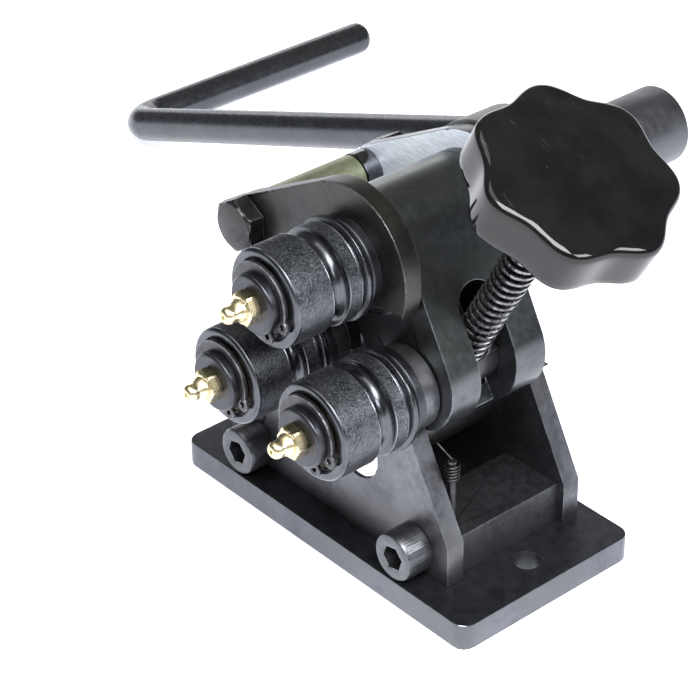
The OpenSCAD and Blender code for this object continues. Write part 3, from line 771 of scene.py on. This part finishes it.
def add_cap_screws(material):
    low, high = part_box("frame_cap_screws")
    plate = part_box("front_side_plate")[0].y
    head_h, head_r = (plate - low.y) / MM, (high.z - low.z) / 2 / MM
    solid = socket_screw(head_r, head_h, 3.95, (high.y - plate) / MM, 6.0, 48)
    for side, x in (("left", low.x + head_r * MM), ("right", high.x - head_r * MM)):
        place = Matrix.Translation((x, plate, (low.z + high.z) / 2)) @ turn(90, "X") @ turn(12, "Z")
        make_piece(side + "_cap_screw", solid, place, "frame", [material],
                   ["frame_cap_screws"], smooth=35)


# ---- Crank hub ----

def add_hub(turned, dark):
    """The plain turned hub at the rear of the drive shaft, and its set screw."""
    low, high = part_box("crank_hub")
    radius, length = (high.z - low.z) / 2 / MM, (high.y - low.y) / MM
    x, z = (low.x + high.x) / 2, (low.z + high.z) / 2
    front = [(0.05, 0), (radius - 1.0, 0), (radius - 0.6, 0.08), (radius - 0.25, 0.3), (radius, 0.8)]
    rear = [(radius, length - 0.8), (radius - 0.2, length - 0.35), (radius - 0.55, length - 0.08),
            (radius - 1.0, length), (0.05, length)]
    make_piece("crank_hub_turned", skin(lathe(front + rear, 128)), along_y(x, low.y, z), "drive",
               [turned], ["crank_hub"], smooth=32)
    low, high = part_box("crank_set_screw")
    screw_r = (high.x - low.x) / 2 / MM
    solid = skin(lathe([(screw_r - 0.4, radius - 4), (screw_r, radius - 3.6), (screw_r, radius - 0.15),
                        (screw_r - 0.3, radius + 0.1), (1.6, radius + 0.15)], 64)
                 + lathe([(1.45, radius), (1.4, radius - 0.2), (1.4, radius - 2)], 64, hexagon(2.5))
                 + lathe([(0.05, radius - 2.4)], 64))
    place = Matrix.Translation(((low.x + high.x) / 2, (low.y + high.y) / 2, z))
    make_piece("crank_set_screw_socket", solid, place, "drive", [dark], ["crank_set_screw"],
               smooth=35)


# ---- Put together ----

def finish_cad_nodes():
    plates = black_oxide("frame_oxide", (0.077, 0.078, 0.086), (0.155, 0.158, 0.173), (0.112, 0.113, 0.115),
                         0.37, (1, 1, 6), relief=0.35)
    base = black_oxide("base_oxide_painted_top_shade", (0.085, 0.088, 0.100), (0.135, 0.139, 0.156), (0.100, 0.104, 0.104),
                       0.36, (6, 1, 6), relief=0.35)
    # Painted shade: the base plate's top face is given a darker colour than its sides.
    face_finish_and_painted_light(base, (0, 0, 1), (0.062, 0.065, 0.076), 0.36)
    arm = black_oxide("arm_oxide", (0.065, 0.069, 0.075), (0.111, 0.116, 0.127), (0.086, 0.091, 0.086),
                      0.30, (1, 5, 1), 0.65, relief=0.25)
    # Painted shade: the front arm plate is a much darker copy of the arm's blackened steel.
    front = black_oxide("front_arm_painted_shade_oxide", (0.022, 0.023, 0.023), (0.046, 0.047, 0.048),
                        (0.055, 0.051, 0.043), 0.36, (1, 5, 1), 0.65, relief=0.3)
    inner = black_oxide("rear_arm_oxide_painted_reflection", (0.065, 0.069, 0.075), (0.111, 0.116, 0.127), (0.086, 0.091, 0.086),
                        0.30, (1, 5, 1), 0.65, relief=0.25)
    # Painted reflection: the rear arm plate's front face gets a pale bluish-white colour that stands for the
    # bright floor it reflects.
    face_finish_and_painted_light(inner, (0, -1, 0), (0.84, 0.90, 1.0), 0.38, 0.45)
    housing = black_oxide("housing_oxide", (0.11, 0.113, 0.118), (0.17, 0.174, 0.182), (0.14, 0.142, 0.138),
                          0.42, (1, 5, 1), 0.5)
    fixings = black_oxide("fastener_oxide", (0.070, 0.072, 0.078), (0.125, 0.127, 0.138),
                          (0.09, 0.092, 0.090), 0.33, (1, 1, 1), 0.6)
    crank = black_oxide("crank_oxide", (0.066, 0.068, 0.076), (0.084, 0.087, 0.098), (0.074, 0.077, 0.080),
                        0.26, (1, 1, 1), 0.35, relief=0.15)
    olive = black_oxide("olive_plating", (0.21, 0.23, 0.15), (0.31, 0.33, 0.22), (0.26, 0.28, 0.19),
                        0.45, (1, 6, 1), 0.4, (0.45, 0.46, 0.36))
    collar = bright_metal("collar_steel", (0.080, 0.080, 0.088), (0.150, 0.150, 0.164), 0.14)
    rings = black_oxide("ring_phosphate", (0.04, 0.04, 0.043), (0.085, 0.085, 0.09), (0.06, 0.06, 0.057),
                        0.40, (1, 1, 1), 0.9)
    bronze = bright_metal("oiled_bronze", (0.060, 0.046, 0.030), (0.120, 0.094, 0.062), 0.38)
    ground = bright_metal("ground_steel", (0.42, 0.43, 0.45), (0.62, 0.63, 0.65), 0.2)
    anchor = black_oxide("anchor_oxide", (0.05, 0.05, 0.052), (0.09, 0.09, 0.095), (0.07, 0.07, 0.066), 0.34)
    face_finish_and_painted_light(anchor, (0, -1, 0), (0.80, 0.80, 0.81), 0.18)
    wire = bright_metal("spring_wire", (0.022, 0.022, 0.023), (0.055, 0.054, 0.053), 0.3)
    groups = {
        plates: ["front_side_plate", "rear_side_plate", "left_spacer_bar", "right_spacer_bar", "hinge_post"],
        base: ["base_plate"],
        arm: ["arm_body", "body_spacer"],
        front: ["arm_front_plate"],
        housing: ["bearing_housing"],
        inner: ["arm_rear_plate"],
        fixings: ["base_screws", "post_screws", "housing_screws"],
        crank: ["crank_rod"],
        olive: ["hinge_tube"],
        rings: ["top_retaining_ring", "left_retaining_ring", "right_retaining_ring", "screw_retainer",
                "spring_pin"],
        collar: ["hinge_collar"],
        bronze: ["front_bush", "rear_bush", "left_roller_bush", "right_roller_bush"],
        anchor: ["anchor_barrel", "barrel_nut"],
        ground: ["knob_insert"],
    }
    edge = {"base_plate": 0.45, "arm_body": 0.45, "arm_front_plate": 0.4, "arm_rear_plate": 0.4,
            "front_side_plate": 0.35, "rear_side_plate": 0.0, "crank_rod": 0.0}
    for material, names in groups.items():
        for name in names:
            finish_node(name, material, edge.get(name, 0.2))
    finish_node("drive_key", ground, 0.2)
    turned = {"drive_shaft": 0.25, "left_roller_shaft": 0.25, "right_roller_shaft": 0.25,
              "top_thrust_collar": 0.15, "left_thrust_collar": 0.15, "right_thrust_collar": 0.15,
              "rear_thrust_washer": 0.15}
    for name, width in turned.items():
        low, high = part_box(name)
        at = ((low.x + high.x) / 2, 0, (low.z + high.z) / 2)
        material = turned_steel(name + "_turned", (0.036, 0.037, 0.042), (0.068, 0.070, 0.079), rough=0.36,
                                axis_at=at, along_y=True)
        finish_node(name, material, width)
    return fixings, wire


def main():
    add_camera()
    add_sky()
    add_softbox("right_box", (0.56, -0.36, 1.0), (0.8, 0.5), 24, (0.97, 0.98, 1.0))
    add_softbox("side_box", (0.90, 0.20, 0.68), (0.5, 0.3), 7, (0.97, 0.98, 1.0))
    add_softbox("ceiling_box", (-0.1, -0.5, 1.4), (1.2, 0.8), 8)
    add_softbox("back_box", (-1.15, 0.98, 0.40), (1.3, 0.42), 4.5)
    fixings, wire = finish_cad_nodes()
    polished = turned_steel("polished_roller", (0.060, 0.062, 0.069), (0.110, 0.113, 0.125), rough=0.27)
    add_rollers(knurled_steel(), polished)
    add_screw(screw_steel())
    add_knob(gloss_plastic())
    add_nipples(bright_metal("turned_brass", (0.52, 0.43, 0.25), (0.78, 0.69, 0.47), 0.22))
    add_hinge_bolt(black_oxide("bolt_oxide", (0.020, 0.020, 0.021), (0.055, 0.056, 0.058),
                               (0.032, 0.033, 0.030), 0.34, (1, 1, 1), 0.8, (0.42, 0.42, 0.42)))
    add_spring(wire)
    add_cap_screws(fixings)
    hub_steel = turned_steel("hub_steel", (0.085, 0.087, 0.096), (0.12, 0.122, 0.134), rough=0.46, ring=0.3)
    add_hub(hub_steel, fixings)
    add_floor()


def add_floor():
    mesh = bpy.data.meshes.new("floor")
    half = 3.0
    corners = [(-half, -half, 0), (half, -half, 0), (half, half, 0), (-half, half, 0)]
    mesh.from_pydata(corners, [], [(0, 1, 2, 3)])
    floor = bpy.data.objects.new("floor", mesh)
    floor.location.z = -0.0002
    bpy.context.scene.collection.objects.link(floor)
    material, tree, shader, where = start_material("floor_paper", roughness=0.9, emission_strength=0.78,
                                                   emission_color=(0.95, 0.97, 1.12, 1))
    tone = span(tree, noise(tree, where, 60, 3), 0.3, 0.7)
    connect(tree, shader, base_color=blend(tree, tone, (0.84, 0.84, 0.845), (0.87, 0.87, 0.873)))
    mesh.materials.append(material)


bpy.context.scene.view_settings.view_transform = "Standard"
main()
